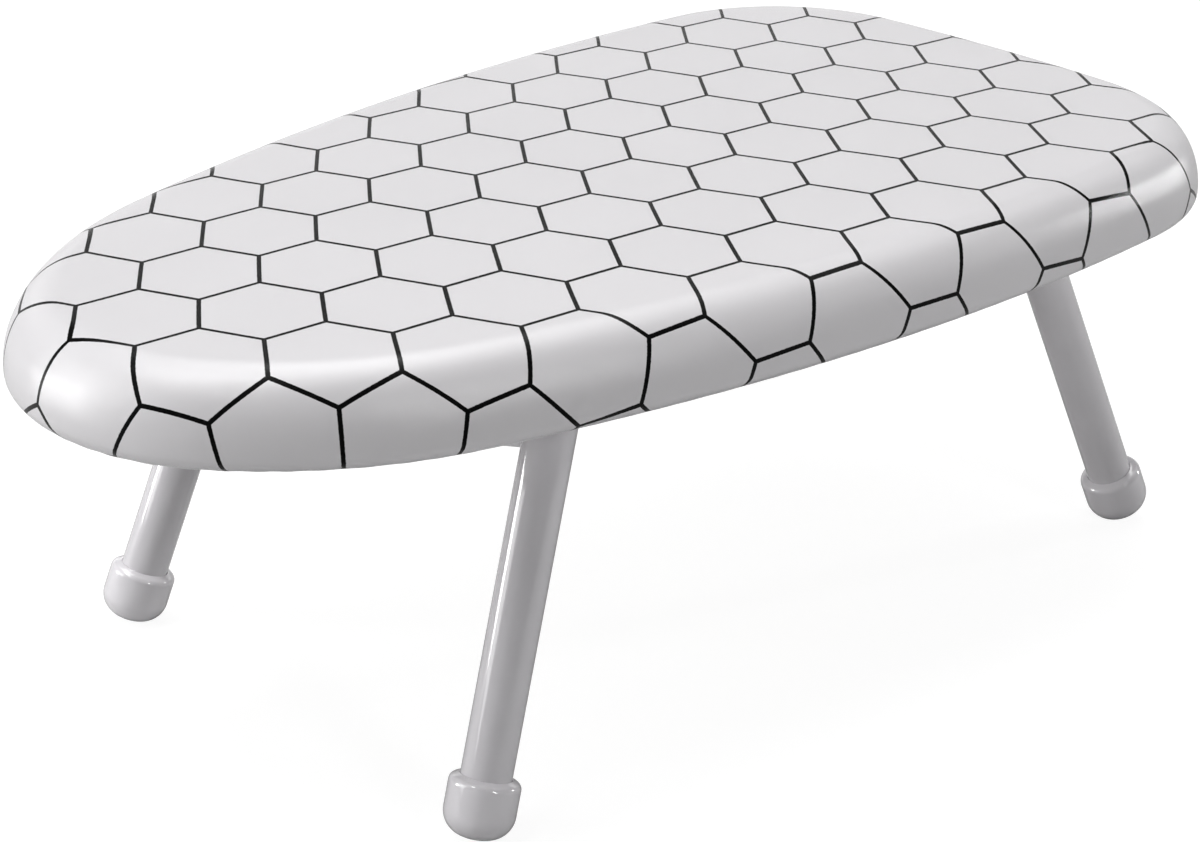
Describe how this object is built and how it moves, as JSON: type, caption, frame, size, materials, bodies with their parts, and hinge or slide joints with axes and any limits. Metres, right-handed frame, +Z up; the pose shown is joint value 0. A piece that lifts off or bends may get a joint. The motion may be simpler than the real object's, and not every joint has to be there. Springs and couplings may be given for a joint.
{
  "type": "tabletop ironing board",
  "caption": "Low padded ironing board with a round nose, a honeycomb print cloth cover and two pairs of splayed tube legs that fold flat under it.",
  "frame": {"origin": "on the table surface, under the middle of the board's bounding box", "axes": "+X runs along the board from the round nose to the wide heel, +Y across it, +Z up out of the table"},
  "size_m": [0.6, 0.345, 0.216],
  "materials": {
    "printed_cloth": "smooth satin cloth, pale grey, printed with a black honeycomb line",
    "foam": "open-cell foam",
    "fibreboard": "fibreboard with a pale painted face",
    "elastic": "woven elastic band",
    "leg_paint": "glossy pale grey enamel on steel",
    "foot_vinyl": "glossy pale grey vinyl",
    "nylon": "moulded white nylon",
    "zinc_steel": "zinc-plated steel",
    "spring_steel": "hardened spring strip"
  },
  "bodies": {
    "board": {"cover": "printed_cloth", "foam_pad": "foam", "deck_panel": "fibreboard", "hem_elastic": "elastic", "nose_hinge_base_left": "nylon", "nose_hinge_base_right": "nylon", "nose_hinge_cap_left": "nylon", "nose_hinge_cap_right": "nylon", "nose_hinge_screw_left_1": "zinc_steel", "nose_hinge_screw_left_2": "zinc_steel", "nose_hinge_screw_right_1": "zinc_steel", "nose_hinge_screw_right_2": "zinc_steel", "nose_detent_spring": "spring_steel", "nose_spring_screw_1": "zinc_steel", "nose_spring_screw_2": "zinc_steel", "heel_hinge_base_left": "nylon", "heel_hinge_base_right": "nylon", "heel_hinge_cap_left": "nylon", "heel_hinge_cap_right": "nylon", "heel_hinge_screw_left_1": "zinc_steel", "heel_hinge_screw_left_2": "zinc_steel", "heel_hinge_screw_right_1": "zinc_steel", "heel_hinge_screw_right_2": "zinc_steel", "heel_detent_spring": "spring_steel", "heel_spring_screw_1": "zinc_steel", "heel_spring_screw_2": "zinc_steel"},
    "nose_legs": {"nose_axle": "leg_paint", "nose_leg_left": "leg_paint", "nose_leg_right": "leg_paint", "nose_leg_arm_left": "leg_paint", "nose_leg_arm_right": "leg_paint", "nose_leg_plug_left": "nylon", "nose_leg_plug_right": "nylon", "nose_foot_cap_left": "foot_vinyl", "nose_foot_cap_right": "foot_vinyl", "nose_stop_pin_left": "zinc_steel", "nose_stop_pin_right": "zinc_steel"},
    "heel_legs": {"heel_axle": "leg_paint", "heel_leg_left": "leg_paint", "heel_leg_right": "leg_paint", "heel_leg_arm_left": "leg_paint", "heel_leg_arm_right": "leg_paint", "heel_leg_plug_left": "nylon", "heel_leg_plug_right": "nylon", "heel_foot_cap_left": "foot_vinyl", "heel_foot_cap_right": "foot_vinyl", "heel_stop_pin_left": "zinc_steel", "heel_stop_pin_right": "zinc_steel"}
  },
  "joints": [
    {"name": "nose_leg_fold", "type": "hinge", "parent": "board", "child": "nose_legs", "pos_m": [-0.1343, 0, 0.153], "axis": [0, -1, 0], "range_deg": [0, 110], "deforming": ["nose_detent_spring"]},
    {"name": "heel_leg_fold", "type": "hinge", "parent": "board", "child": "heel_legs", "pos_m": [0.1906, 0, 0.153], "axis": [0, 1, 0], "range_deg": [0, 110], "deforming": ["heel_detent_spring"]}
  ]
}
